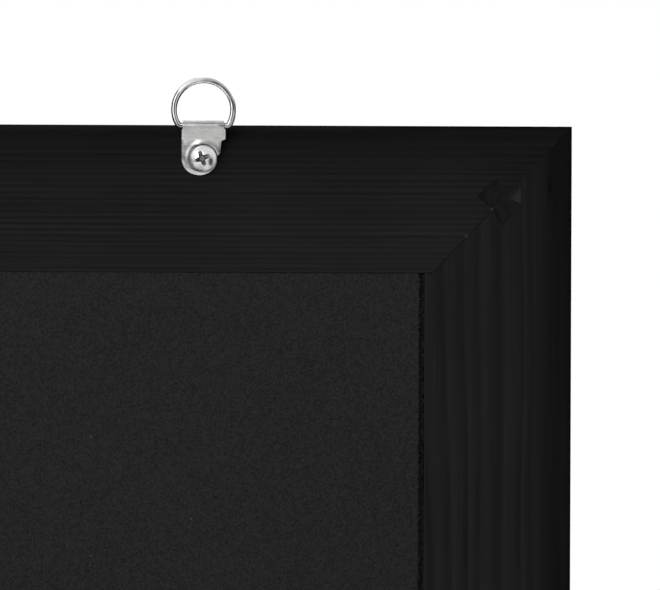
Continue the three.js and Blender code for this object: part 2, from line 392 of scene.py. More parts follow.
NOISE_RANGE = (0.3, 0.7)
# Near black, towards which painted shade is mixed on the rails and the backing
PAINTED_SHADE = grey(5)
FILLER = grey(9)
STAIN = grey(14)
ARRIS_HIGHLIGHT_COLOUR = grey(31)
# Colour of the painted highlight along the rails' inner arris
BARE = grey(46)
FLECK = grey(70)


def lacquer_finish(name, low, high, gloss):
    """Black stain and thin lacquer over softwood: year rings from the mesh, fine fibres from noise."""
    finish = Finish(name)
    along = finish.attribute("along")
    across = finish.attribute("across")
    where = finish.place()

    def fibres(along_scale, across_scale):
        x = finish.math("MULTIPLY", along, along_scale)
        y = finish.math("MULTIPLY", across, across_scale)
        flow = finish.add("CombineXYZ", {"X": x, "Y": y}).outputs[0]
        return finish.noise(flow, scale=1.0, detail=3.0, roughness=0.6)

    coarse = fibres(along_scale=11.0, across_scale=700.0)
    fine = fibres(along_scale=26.0, across_scale=2300.0)
    cloud = finish.noise(where, scale=22.0, detail=3.0)
    speck = finish.noise(where, scale=1500.0)
    rings = finish.span(finish.attribute("tone"), -1.0, 1.0, 0.2, 0.8)
    level = finish.total(
        rings, finish.around(coarse, 0.13), finish.around(fine, 0.17), finish.around(cloud, 0.12)
    )
    base = finish.mix(level, low, high)
    patch = finish.noise(where, scale=420.0, roughness=0.6)
    joint = finish.span(finish.attribute("joint"), 0.0001, 0.0006, 0.7, 0.0)
    base = finish.mix(finish.math("MULTIPLY", joint, patch), base, FILLER)
    # Painted shade on the back's rounded outer band
    base = finish.mix(finish.attribute("dark"), base, PAINTED_SHADE)
    # A painted highlight along the rails' inner arris
    base = finish.mix(finish.attribute("wear_and_highlight"), base, ARRIS_HIGHLIGHT_COLOUR)
    normal = finish.bump(fine, distance=0.00005, strength=0.6)
    normal = finish.bump(speck, distance=0.00002, strength=0.35, under=normal)
    return finish.shade(base, finish.over(speck, 0.5, 0.64), normal, specular_ior_level=gloss)


def key_finish():
    """Stained end grain: darker and duller than the rails, with pores."""
    finish = Finish("key_wood")
    where = finish.place()
    pores = finish.cells(where, scale=2600.0).outputs["Distance"]
    cloud = finish.noise(where, scale=380.0, detail=4.0, roughness=0.6)
    level = finish.math("ADD", finish.over(cloud, 0, 0.7), finish.span(pores, 0, 1, 0, 0.3))
    base = finish.mix(level, STAIN, grey(24.5))
    normal = finish.bump(cloud, distance=0.00015, strength=0.7)
    normal = finish.bump(pores, distance=0.00004, strength=0.4, under=normal)
    return finish.shade(base, 0.8, normal, specular_ior_level=0.02)


def backing_finish():
    """Black backing sheet with a fine pebbled speckle, painted shade along its torn edge and in the gap
    beside it, and a few pale flecks.
    """
    finish = Finish("backing_paper")
    where = finish.place()
    pebble = finish.noise(where, scale=1600.0, roughness=0.55)
    grit = finish.noise(where, scale=620.0)
    cells = finish.cells(where, scale=330.0)
    cloud = finish.span(finish.noise(where, scale=9.0), 0.35, 0.65, -0.07, 0.07)
    level = finish.total(finish.around(pebble, 0.5), finish.around(grit, 0.15), cloud, 0.5)
    base = finish.mix(level, grey(22.0), grey(36.0))
    pick = finish.add("SeparateColor", {"Color": cells.outputs["Color"]}).outputs[0]
    rare = finish.span(pick, 0.965, 0.97, 0.0, 1.0)
    spot = finish.span(cells.outputs["Distance"], 0.05, 0.12, 0.6, 0.0)
    base = finish.mix(finish.math("MULTIPLY", rare, spot), base, FLECK)
    # Painted shade along the torn edge and in the gap
    base = finish.mix(finish.attribute("dark"), base, PAINTED_SHADE)
    normal = finish.bump(pebble, distance=0.00012, strength=0.8)
    normal = finish.bump(grit, distance=0.0001, strength=0.4, under=normal)
    return finish.shade(base, 0.82, normal, specular_ior_level=0.03)


def chalk_finish():
    """Matte chalk coating: a fine tooth, faint cloudy wiping marks and hardly any shine."""
    finish = Finish("chalk_coating")
    tooth = finish.noise(finish.place(), scale=2200.0, roughness=0.6)
    wipe = finish.noise(finish.place((3.0, 1.0, 0.9)), scale=6.0, detail=5.0, roughness=0.62)
    streak = finish.noise(finish.place((1.4, 1.0, 26.0)), scale=5.0, detail=3.0)
    wiped = finish.span(wipe, 0.3, 0.75, 0, 0.55)
    streaked = finish.span(streak, 0.4, 0.8, 0, 0.2)
    level = finish.total(wiped, streaked, finish.over(tooth, 0, 0.25))
    base = finish.mix(level, (0.0125, 0.0136, 0.0131), (0.0225, 0.0240, 0.0232))
    normal = finish.bump(tooth, distance=0.00004, strength=0.6)
    return finish.shade(base, finish.over(wipe, 0.86, 0.94), normal, specular_ior_level=0.12)


def fibreboard_finish(name, dark, light, stained):
    """Raw brown fibreboard with short fibres, darkened where the frame's stain ran into its edge."""
    finish = Finish(name)
    where = finish.place()
    fibre = finish.noise(finish.place((1, 3.0, 1)), scale=1400.0, detail=4.0, roughness=0.7)
    stain = finish.noise(where, scale=75.0, detail=3.0, roughness=0.6)
    cloud = finish.noise(where, scale=90.0)
    level = finish.math("ADD", finish.over(fibre, 0, 0.7), finish.over(cloud, 0, 0.3))
    base = finish.mix(level, dark, light)
    base = finish.mix(finish.span(stain, 0.52, 0.6, stained, 0.25), base, STAIN)
    normal = finish.bump(fibre, distance=0.0002, strength=0.8)
    return finish.shade(base, 0.92, normal, specular_ior_level=0.1)


def bond_finish():
    """Thin pale foam tape."""
    finish = Finish("bond_tape")
    cell = finish.cells(finish.place(), scale=1800.0).outputs["Distance"]
    base = finish.mix(finish.span(cell, 0, 1, 0.2, 1.0), (0.42, 0.39, 0.30), (0.72, 0.69, 0.58))
    normal = finish.bump(cell, distance=0.00008, strength=0.6)
    return finish.shade(base, 0.8, normal, specular_ior_level=0.3)


def worn_finish():
    """Wood where the stain has rubbed off a mitre: "worn" in the mesh is how much of it has gone."""
    finish = Finish("worn_lacquer")
    fibre = finish.noise(finish.place((1, 1, 0.25)), scale=900.0, detail=3.0, roughness=0.6)
    base = finish.mix(finish.over(fibre, 0, 1), grey(23), grey(34))
    base = finish.mix(finish.attribute("wear_and_highlight"), base, BARE)
    normal = finish.bump(fibre, distance=0.0001, strength=0.5)
    return finish.shade(base, 0.7, normal, specular_ior_level=0.0)


def metal_finish(name, tint, rough, lines_depth, variation):
    """Plated steel: "shine" in the mesh is how much light it returns, with painted reflections, highlights
    and shade in it, and clouds, lines and small dents.
    """
    finish = Finish(name)
    where = finish.place()
    cloud = finish.noise(where, scale=300.0, detail=3.0, roughness=0.6)
    lines = finish.noise(finish.place((1.0, 1.0, 6.0)), scale=900.0, detail=4.0, roughness=0.7)
    spots = finish.noise(where, scale=3200.0)
    shine = finish.total(
        finish.attribute("shine"),
        finish.around(cloud, variation),
        finish.around(lines, variation / 2),
        finish.around(spots, variation / 3),
    )
    base = finish.mix(shine, STAIN, tint)
    normal = finish.bump(lines, distance=lines_depth, strength=0.5)
    normal = finish.bump(cloud, distance=lines_depth * 2, strength=0.25, under=normal)
    return finish.shade(base, finish.over(lines, rough, rough * 1.5), normal, metallic=1.0)


LACQUER = lacquer_finish("frame_lacquer", grey(16.5), grey(27.0), gloss=0.05)
# The wall side's copy of the lacquer has no shine, and its lighter colour is painted sheen
SHEEN_PAINTED_BACK = lacquer_finish("back_lacquer_painted_sheen", grey(19.6), grey(32.0), gloss=0.0)
WORN_LACQUER = worn_finish()
KEY_WOOD = key_finish()
BACKING = backing_finish()
CHALK = chalk_finish()
FIBREBOARD = fibreboard_finish("fibreboard", (0.050, 0.030, 0.010), (0.21, 0.135, 0.048), stained=0.93)
# A copy of the fibreboard several times darker, for the bare fibres in the gap: its darkness is painted shade
SHADED_BARE_FIBREBOARD = fibreboard_finish(
    "bare_fibreboard_painted_shade", (0.018, 0.0165, 0.007), (0.060, 0.054, 0.018), stained=0.2
)
BOND = bond_finish()
STRAP_STEEL = metal_finish("strap_steel", (0.98, 0.98, 0.965), 0.26, lines_depth=0.000012, variation=0.05)
RING_STEEL = metal_finish("ring_steel", (0.98, 0.98, 0.97), 0.14, lines_depth=0.000006, variation=0.04)
SCREW_STEEL = metal_finish("screw_steel", (0.97, 0.97, 0.98), 0.18, lines_depth=0.000008, variation=0.05)
RECESS_STEEL = metal_finish("recess_steel", (0.96, 0.96, 0.97), 0.32, lines_depth=0.00001, variation=0.06)


# Rails


def line_points(start, end, step):
    count = max(1, round(math.dist(start, end) / step))
    shares = np.arange(count) / count
    return [(start[0] + (end[0] - start[0]) * t, start[1] + (end[1] - start[1]) * t) for t in shares]


def arc_points(centre, radii, start, end, count):
    angles = np.linspace(start, end, count, endpoint=False)
    return [(centre[0] + radii[0] * math.cos(a), centre[1] + radii[1] * math.sin(a)) for a in angles]


def rail_section():
    """Points (u, y) round the section: u in from the outer edge, y up to the wall plane."""
    inner = RAIL_BACK + LIP
    quarter = math.pi / 2
    points = line_points((BACK_ROUND_WIDTH, WALL), (RAIL_BACK - ARRIS, WALL), BACK_STEP)
    points += line_points((RAIL_BACK - ARRIS, WALL), (RAIL_BACK, WALL - ARRIS), BACK_STEP)
    points += line_points((RAIL_BACK, WALL - ARRIS), (RAIL_BACK, WALL - RABBET), EDGE_STEP)
    points += line_points((RAIL_BACK, WALL - RABBET), (inner, WALL - RABBET), EDGE_STEP)
    points += line_points((inner, WALL - RABBET), (inner, FRONT + LIP_ROUND), EDGE_STEP)
    round_centre = (inner - LIP_ROUND, FRONT + LIP_ROUND)
    points += arc_points(round_centre, (LIP_ROUND, LIP_ROUND), 0, -quarter, ARC_POINTS)
    points += line_points((inner - LIP_ROUND, FRONT), (FRONT_ROUND, FRONT), FACE_STEP)
    round_centre = (FRONT_ROUND, FRONT + FRONT_ROUND)
    points += arc_points(round_centre, (FRONT_ROUND, FRONT_ROUND), -quarter, -2 * quarter, ARC_POINTS)
    points += line_points((0, FRONT + FRONT_ROUND), (0, WALL - BACK_ROUND_DEPTH), EDGE_STEP)
    round_centre = (BACK_ROUND_WIDTH, WALL - BACK_ROUND_DEPTH)
    radii = (BACK_ROUND_WIDTH, BACK_ROUND_DEPTH)
    points += arc_points(round_centre, radii, 2 * quarter, quarter, 2 * ARC_POINTS)
    return np.array(points)


def section_normals(section):
    """Outward unit normals of a closed section drawn clockwise or not."""
    along = np.roll(section, -1, axis=0) - np.roll(section, 1, axis=0)
    normal = np.stack([along[:, 1], -along[:, 0]], axis=1)
    normal /= np.linalg.norm(normal, axis=1)[:, None]
    after = np.roll(section, -1, axis=0)
    area = np.sum(section[:, 0] * after[:, 1] - after[:, 0] * section[:, 1])
    return normal if area > 0 else -normal


def grain(places, drift, drop_share, least_share, seed):
    """The tone of year rings that cut a rail at given places: dark lines, and lighter wood between. In it
    and in the shades below, s runs along the rail, c across its grain and u in from its outer edge."""
    source = np.random.default_rng(seed)
    places = np.array(places)
    weight = source.uniform(least_share, 1, len(places))
    wave = source.uniform(*LINE_WAVES, len(places))
    phase = source.uniform(0, 2 * math.pi, len(places))
    broad = wander(seed + 1, *BROAD_SPANS)

    def tone(s, c):
        value = c - drift(s, c)
        index = np.clip(np.searchsorted(places, value) - 1, 0, len(places) - 2)
        share = (value - places[index]) / (places[index + 1] - places[index])
        lift = smoothstep(0, 1 - drop_share, share) - smoothstep(1 - drop_share, 1, share)
        swing = np.sin(2 * math.pi * s / wave[index] + phase[index])
        strength = weight[index] * (LINE_STRENGTH + LINE_SWING * swing)
        return (2 * lift - 1) * strength + BROAD_WEIGHT * broad(s, c)

    return tone


def straight_tone(seed):
    """Close, even grain lines."""
    source = np.random.default_rng(seed)
    reach = RAIL_BACK + LIP - FRONT
    count = round(reach / GRAIN_SPACING) + 2 * SPARE_LINES
    places = np.cumsum(GRAIN_SPACING * (1 + source.normal(0, GRAIN_JITTER_SHARE, count)))
    sway = wander(seed + 5, *STRAIGHT_SWAY_SPANS)

    def drift(s, c):
        return STRAIGHT_SWAY * sway(s, c)

    first = SPARE_LINES * GRAIN_SPACING
    return grain(places - first, drift, STRAIGHT_DROP_SHARE, STRAIGHT_LEAST_SHARE, seed)


def wavy_tone(seed, start):
    """Broad rings that wave along the rail; start is where along it their wave begins."""
    places = [0, *(share * RAIL_BACK for share in RING_SHARES), 2 * RAIL_BACK]
    sway = wander(seed + 5, *RING_SWAY_SPANS)

    def drift(s, c):
        turn = 2 * math.pi * (start - s) / RING_DRIFT_WAVE
        reach = smoothstep(RAIL_BACK * RING_DRIFT_SHARES[0], RAIL_BACK * RING_DRIFT_SHARES[1], c)
        return RING_DRIFT * reach * np.cos(turn) + RING_SWAY * sway(s, c)

    return grain(places, drift, RING_DROP_SHARE, RING_LEAST_SHARE, seed)


def fade_out(band, value):
    """1 on the near side of a soft band and 0 past it."""
    return 1 - smoothstep(*band, value)


def wide_shade(seed):
    """Painted shade on the back's rounded outer band, over a wide soft run, with a painted highlight along
    its rim and darker towards the rail's end.
    """
    swing = wander(seed, *WIDE_SWING_SPANS)

    def dark(s, u, y, end):
        edge = fade_out((WIDE_BAND[0], WIDE_BAND[1] + WIDE_SWING * swing(s, u)), u)
        caught = smoothstep(*RIM_START, end)
        shown = (WIDE_SHADE - RIM_LIGHT * fade_out(RIM, u) * caught) * edge
        shown = shown + END_SHADE * fade_out(END_BAND, end) * (1 - edge)
        shown = shown + OUTER_SHADE * fade_out(OUTER_BAND, u)
        shown = shown + OUTLINE_SHADE * (1 - caught) * fade_out(OUTLINE, u)
        return np.where(y > FRONT / 2, clamp(shown), 0)

    return dark


def narrow_shade(seed, blots=()):
    """The same painted shade with a sharper, wavy border and a painted light near the edge, and dark blots at
    given places: distance to the end, and in.
    """
    swing = wander(seed, *NARROW_SWING_SPANS)
    slow = wander(seed + 1, *NARROW_DRIFT_SPANS)

    def dark(s, u, y, end):
        border = NARROW_BORDER + NARROW_SWING * swing(s, u) + NARROW_SWING * slow(s, u)
        edge = fade_out((border - NARROW_FADE[0], border + NARROW_FADE[1]), u)
        shown = NARROW_SHADE * (1 + edge) + HALF_SHADE * fade_out(HALF_BAND, u)
        shown = shown - ROUND_LIGHT * fade_out(ROUND_BAND, u) + OUTLINE_SHADE * fade_out(OUTLINE, u)
        for far, deep in blots:
            shown = shown + BLOT_SHADE * soft_line(end, far, BLOT[0]) * soft_line(u, deep, BLOT[1])
        return np.where(y > FRONT / 2, clamp(shown), 0)

    return dark


class Rail:
    """One rail: its length, where it lies, which way it runs and its grain."""

    def __init__(self, name, length, slope, origin, along, inward, tone, shade):
        self.name = name
        self.length = length
        self.slope = slope
        self.origin = Vector(origin)
        self.along = Vector(along)
        self.inward = Vector(inward)
        self.tone = tone
        self.shade = shade

    def place(self, s, u, y):
        origin, along, inward = self.origin, self.along, self.inward
        x = origin.x + along.x * s + inward.x * u
        z = origin.z + along.z * s + inward.z * u
        return np.stack([x, y + 0 * x, z], axis=-1)

    def locate(self, places):
        """The reverse of place: (s, u, y) of points in the row frame."""
        offset = places - np.array(self.origin)
        return offset @ np.array(self.along), offset @ np.array(self.inward), places[:, 1]

    def end(self, u, y):
        """How far in from its outer corner the rail ends: its mitre, stepped at a steep rail's rabbet."""
        mitre = self.slope * u
        stepped = (self.slope > 1) & (y > WALL - RABBET) & (u <= RAIL_BACK)
        return np.where(stepped, np.minimum(mitre, RAIL_BACK), mitre)

    def body(self):
        section = rail_section()
        normals = section_normals(section)
        stations = np.linspace(-1, 1, 2 * round(self.length / STATION / 2) + 1)
        rings = []
        for t in stations:
            s = t * (self.length / 2 - self.end(section[:, 0], section[:, 1]))
            depth = GROOVE * (0.5 - 0.5 * clamp(self.tone(s, section[:, 0] - section[:, 1]), -1, 1))
            depth *= smoothstep(0, GROOVE_START, section[:, 0])
            shaped = section - normals * depth[:, None]
            u, y = shaped[:, 0], shaped[:, 1]
            s = t * (self.length / 2 - self.end(u, y) - MITRE_GAP)
            rings.append(self.place(s, u, y))
        return loft(self.name + "_wood", rings, LACQUER)

    def finish_grain(self, piece):
        s, u, y = self.locate(corners_of(piece))
        c = u - y
        keep_attribute(piece, "tone", clamp(self.tone(s, c), -1, 1))
        # Painted shade on the back's rounded outer band
        keep_attribute(piece, "dark", self.shade(s, u, y, self.length / 2 - np.abs(s)))
        keep_attribute(piece, "along", s)
        keep_attribute(piece, "across", c)
        outer = OUTER_JOINT * smoothstep(KEY_INSET, KEY_INSET * OUTER_JOINT_SHARE, u)
        keep_attribute(piece, "joint", self.length / 2 - np.abs(s) - self.end(u, y) + outer)
        # A painted highlight along the inner arris, stronger and weaker along the rail
        edge = smoothstep(RAIL_BACK - 2 * ARRIS, RAIL_BACK - ARRIS, u)
        edge = edge * (u <= RAIL_BACK) * (y > WALL - 2 * ARRIS)
        arris_highlight = ARRIS_HIGHLIGHT + ARRIS_HIGHLIGHT_SWING * np.sin(2 * math.pi * s / ARRIS_HIGHLIGHT_WAVE)
        keep_attribute(piece, "wear_and_highlight", edge * arris_highlight)


def key_outline(growth, jitter, source):
    """The bow tie's outline with its length along X, and small hand-cut wobbles between its corners."""
    reach = KEY_LENGTH / 2 + growth
    outer, inner = (width / 2 + growth for width in KEY_ENDS)
    waist = KEY_WAIST / 2 + growth
    corners = [(-reach, -outer), (0, -waist), (reach, -inner), (reach, inner), (0, waist), (-reach, outer)]
    outline = []
    for i, start in enumerate(corners):
        end = corners[(i + 1) % len(corners)]
        for share in np.arange(SLOT_POINTS) / SLOT_POINTS:
            wobble = source.normal(0, jitter, 2)
            x = start[0] + (end[0] - start[0]) * share + wobble[0]
            z = start[1] + (end[1] - start[1]) * share + wobble[1]
            outline.append((x, z))
    return outline


def corner_signs():
    return [(name, sx, sz) for name, sx in (("left", -1), ("right", 1)) for sz in (1, -1)]


def corner_centre(sx, sz):
    x = (RIGHT if sx > 0 else LEFT) - sx * (KEY_INSET + KEY_SHIFT[0])
    z = (TOP if sz > 0 else BOTTOM) - sz * (KEY_INSET + KEY_SHIFT[1])
    return x, z


def turned(outline, sx, sz):
    """A key outline turned across its mitre and moved to its corner."""
    angle = -sx * sz * KEY_TURN
    cx, cz = corner_centre(sx, sz)
    cos, sin = math.cos(angle), math.sin(angle)
    return [(cx + cos * x - sin * z, cz + sin * x + cos * z) for x, z in outline]


def corner_source(base, sx, sz):
    """A random source of its own for a corner."""
    return np.random.default_rng(base + 10 * sx + sz)


def make_rails():
    width, height = RIGHT - LEFT, TOP - BOTTOM
    top, bottom = (MIDDLE.x, 0, TOP), (MIDDLE.x, 0, BOTTOM)
    left, right = (LEFT, 0, MIDDLE.z), (RIGHT, 0, MIDDLE.z)
    slope, steep = MITRE_SLOPE, 1 / MITRE_SLOPE
    top_look = (straight_tone(seed=11), wide_shade(seed=21))
    bottom_look = (straight_tone(seed=31), wide_shade(seed=41))
    left_look = (wavy_tone(seed=51, start=height / 2 - RING_DRIFT_START), narrow_shade(seed=61, blots=BLOTS))
    right_look = (wavy_tone(seed=71, start=height / 3), narrow_shade(seed=81))
    rails = [
        Rail("top_rail", width, slope, top, (-1, 0, 0), (0, 0, -1), *top_look),
        Rail("bottom_rail", width, slope, bottom, (1, 0, 0), (0, 0, 1), *bottom_look),
        Rail("left_rail", height, steep, left, (0, 0, 1), (1, 0, 0), *left_look),
        Rail("right_rail", height, steep, right, (0, 0, -1), (-1, 0, 0), *right_look),
    ]
    ends = {
        "top_rail": [(-1, 1), (1, 1)],
        "bottom_rail": [(-1, -1), (1, -1)],
        "left_rail": [(-1, 1), (-1, -1)],
        "right_rail": [(1, 1), (1, -1)],
    }
    for rail in rails:
        piece = rail.body()
        cutters = []
        for sx, sz in ends[rail.name]:
            outline = key_outline(KEY_GAP, SLOT_JITTER, corner_source(KEY_SEED, sx, sz))
            cutters.append(prism("cutter", turned(outline, sx, sz), SLOT_FLOOR, WALL + OVERRUN, LACQUER))
        cut(piece, cutters)
        piece.data.set_sharp_from_angle(angle=SHARP)
        # Faces on the wall side, with the rounded outer band, take the copy with painted sheen
        piece.data.materials.append(SHEEN_PAINTED_BACK)
        for face in piece.data.polygons:
            if face.center.y > WALL - BACK_ROUND_DEPTH - MATT_DEPTH:
                face.material_index = len(piece.data.materials) - 1
        rail.finish_grain(piece)
        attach(piece, "board")
        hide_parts(rail.name)


def make_keys():
    top = WALL - KEY_RECESS
    brim = WALL - KEY_BRIM
    levels = [(1, SLOT_FLOOR), (1, brim)]
    levels += [(shrink, top + (brim - top) * rise) for shrink, rise in KEY_DISH_SHARES]
    for side, sx, sz in corner_signs():
        level = "top" if sz > 0 else "bottom"
        source = corner_source(KEY_SEED, sx, sz)
        outline = np.array(key_outline(-KEY_GAP, SLOT_JITTER, source))
        rings = []
        for shrink, y in levels:
            ring = turned(outline * shrink, sx, sz)
            lift = source.normal(0, KEY_WOBBLE, len(ring)) if y > SLOT_FLOOR else np.zeros(len(ring))
            rings.append([(x, y + rise, z) for (x, z), rise in zip(ring, lift)])
        piece = loft(f"key_{level}_{side}", rings, KEY_WOOD, smooth=False)
        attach(piece, "board")
        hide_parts(f"corner_key_{level}_{side}")


CHIP_THICKNESS = 0.00008
CHIP_LIFT = 0.00002
CHIP_SIDES = 7
CHIPS = (
    (0.0021, 0.0020, 0.0011),
    (0.0092, 0.0094, 0.0010),
    (0.0062, 0.0064, 0.0002),
    (0.0108, 0.0115, 0.0003),
)
CHIP_SLIM_SHARE = 0.45
CHIP_REACH_SHARES = (0.45, 1)
CHIP_WORN_SHARE = 0.7
CHIP_SEED = 300
HALF_ROOT = math.sqrt(0.5)
SLIVER_WORN_SHARES = (0.1, 0.0, 0.0, 0.4, 0.5)
SLIVER = (
    (0.00249, 0.00098),
    (0.00439, 0.0030),
    (0.00556, 0.00436),
    (0.0056, 0.0020),
    (0.00556, -0.0005),
)


def chip_outline(middle, sx, sz, size, source):
    """An uneven seven-sided spot, slim across the mitre."""
    turns = np.arange(CHIP_SIDES) * 2 * math.pi / CHIP_SIDES
    reach = size * source.uniform(*CHIP_REACH_SHARES, CHIP_SIDES)
    long = reach * np.cos(turns) * HALF_ROOT
    slim = reach * np.sin(turns) * CHIP_SLIM_SHARE * HALF_ROOT
    return [(middle[0] - sx * (a + b), middle[1] - sz * (a - b)) for a, b in zip(long, slim)]


def make_worn_spots():
    """Pale chips along each mitre, and a rubbed sliver of the side rail beside each key."""
    for side, sx, sz in corner_signs():
        level = "top" if sz > 0 else "bottom"
        source = corner_source(CHIP_SEED, sx, sz)
        cx, cz = corner_centre(sx, sz)
        sliver = [(cx + sx * x, cz + sz * z) for x, z in SLIVER]
        spots = {f"mitre_sliver_{level}_{side}": (sliver, SLIVER_WORN_SHARES)}
        for number, (across, down, size) in enumerate(CHIPS):
            outline = chip_outline((cx - sx * across, cz - sz * down), sx, sz, size, source)
            spots[f"mitre_chip_{level}_{side}_{number}"] = (outline, [CHIP_WORN_SHARE] * CHIP_SIDES)
        for name, (outline, wear_and_highlight) in spots.items():
            piece = prism(name, outline, WALL - CHIP_THICKNESS, WALL + CHIP_LIFT, WORN_LACQUER)
            keep_attribute(piece, "wear_and_highlight", [*wear_and_highlight, *wear_and_highlight])
            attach(piece, "board")


make_rails()
make_keys()
make_worn_spots()


# Panel

FRAY_STEP = 0.0005
FRAY = 0.00003
TIGHT_REACH = 0.00029
DUST_STEP = 0.0005
DUST_OUTS = (-0.0001, 0.0003, 0.0006, 0.0009, 0.0012, 0.00148)
DUST_DEPTH = 0.0010
DUST_RISE = 0.00035
# Painted shade on the dust in the gap, darker further out towards the rail
DUST_SHADES = (0, 0, 0.05, 0.15, 0.3, 0)
TORN_STEP = 0.00035
TORN_WIDTH = 0.00045
TORN_SPREAD = 0.00018
TORN_DROP = 0.0004
TORN_DROP_SHARES = (0.6, 1.4)
TORN_BEND_SHARES = (0.55, 0.45)
TORN_THICKNESS = 0.00012
# Painted shade on the torn edge, darker towards its tip and underneath
TORN_SHADES = (0, 0.1, 0.2, 0.5, 0.5)

# Fibres: the shares are of their length or radius, and FIBRE_TILT_SHARES gives the usual tilt and its spread
FIBRE_SPACING = 0.0004
FIBRE_SCATTER = FIBRE_SPACING / 4
FIBRE_LAYERS = 2
FIBRE_LENGTH = 0.00095
FIBRE_LENGTH_SHARES = (0.35, 1.25)
FIBRE_RADIUS = 0.00007
FIBRE_RADIUS_SHARES = (0.6, 1.8)
FIBRE_SIDES = 4
FIBRE_BENDS = 4
FIBRE_BEND_SHARE = 0.12
FIBRE_TAPER_SHARE = 0.75
FIBRE_TILT_SHARES = (-0.1, 0.25)
FIBRE_DEPTH_SHARE = 0.35

# Where along each loose edge the fibres are bare: as in the photo, then at uneven distances
BARE_RUNS = ((0.0462, 0.0474), (0.0590, 0.0745), (0.0930, 0.0975))
BARE_PITCH = 0.09
BARE_PITCH_SHARES = (0.6, 1.4)
BARE_LENGTH = 0.008
BARE_LENGTH_SHARES = (0.3, 1.6)
PANEL_SEED = 5


def frayed_rectangle(low, high, source):
    """The outline of a sheet with two edges pressed against the rails and two that fray a little."""
    corners = [(low.x, low.z), (high.x, low.z), (high.x, high.z), (low.x, high.z)]
    outward = [(0, -1), (1, 0), (0, 1), (-1, 0)]
    tight = [False, True, True, False]
    outline = []
    for i, start in enumerate(corners):
        end = corners[(i + 1) % 4]
        reach = TIGHT_REACH if tight[i] else 0
        for k, (x, z) in enumerate(line_points(start, end, FRAY_STEP)):
            out = reach if k == 0 else reach - abs(source.normal(0, FRAY))
            outline.append((x + outward[i][0] * out, z + outward[i][1] * out))
    return outline


class LooseEdge:
    """An edge of the panel with room beside it: where it starts, its direction and its outward side."""

    def __init__(self, name, start, along, outward, length):
        self.name = name
        self.start = Vector(start)
        self.along = Vector(along)
        self.outward = Vector(outward)
        self.length = length

    def place(self, at, out, y):
        point = self.start + self.along * at + self.outward * out
        point.y = y
        return point


def edge_strip(name, edge, step, ring, shades):
    """A strip of backing along a loose edge, lofted through ring(at), with a painted shade for each point."""
    count = round(edge.length / step)
    rings = [ring(edge.length * k / count) for k in range(count + 1)]
    piece = loft(f"{name}_{edge.name}", rings, BACKING, smooth=False)
    keep_attribute(piece, "dark", np.tile(shades, count + 1))
    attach(piece, "board")


def make_torn_edge(edge, high_y, source):
    """The backing sheet's torn edge, which droops over the core's sawn side."""

    def ring(at):
        out = abs(source.normal(TORN_WIDTH, TORN_SPREAD))
        drop = TORN_DROP * source.uniform(*TORN_DROP_SHARES)
        half_out = out * TORN_BEND_SHARES[0]
        half_y = high_y - drop * TORN_BEND_SHARES[1]
        return [
            edge.place(at, -TORN_THICKNESS, high_y),
            edge.place(at, half_out, half_y),
            edge.place(at, out, high_y - drop),
            edge.place(at, half_out, half_y - TORN_THICKNESS),
            edge.place(at, -TORN_THICKNESS, high_y - TORN_THICKNESS),
        ]

    edge_strip("torn_edge", edge, TORN_STEP, ring, TORN_SHADES)


def make_dust(edge, high_y, source):
    """Dust and loose fibres that fill the gap between the core's sawn side and the rail."""

    def ring(at):
        tops = [high_y - DUST_DEPTH + source.uniform(-DUST_RISE, DUST_RISE) for _ in DUST_OUTS]
        upper = [edge.place(at, out, y) for out, y in zip(DUST_OUTS, tops)]
        lower = [edge.place(at, out, high_y - 2 * DUST_DEPTH) for out in reversed(DUST_OUTS)]
        return upper + lower

    edge_strip("gap_dust", edge, DUST_STEP, ring, DUST_SHADES + DUST_SHADES[::-1])


def fibre(base, run, radius, source):
    """Points and faces of one tapered, bent fibre."""
    side = run.orthogonal().normalized()
    other = run.cross(side).normalized()
    points = []
    for k in range(FIBRE_BENDS):
        share = k / (FIBRE_BENDS - 1)
        centre = base + run * share + side * (source.normal(0, FIBRE_BEND_SHARE) * run.length * share)
        reach = radius * (1 - FIBRE_TAPER_SHARE * share)
        for j in range(FIBRE_SIDES):
            angle = 2 * math.pi * j / FIBRE_SIDES
            points.append(centre + side * (math.cos(angle) * reach) + other * (math.sin(angle) * reach))
    faces = [tuple(range(FIBRE_SIDES)), tuple(range(len(points) - FIBRE_SIDES, len(points)))]
    for a in range(0, len(points) - FIBRE_SIDES, FIBRE_SIDES):
        for j in range(FIBRE_SIDES):
            k = (j + 1) % FIBRE_SIDES
            faces.append((a + j, a + k, a + FIBRE_SIDES + k, a + FIBRE_SIDES + j))
    return points, faces


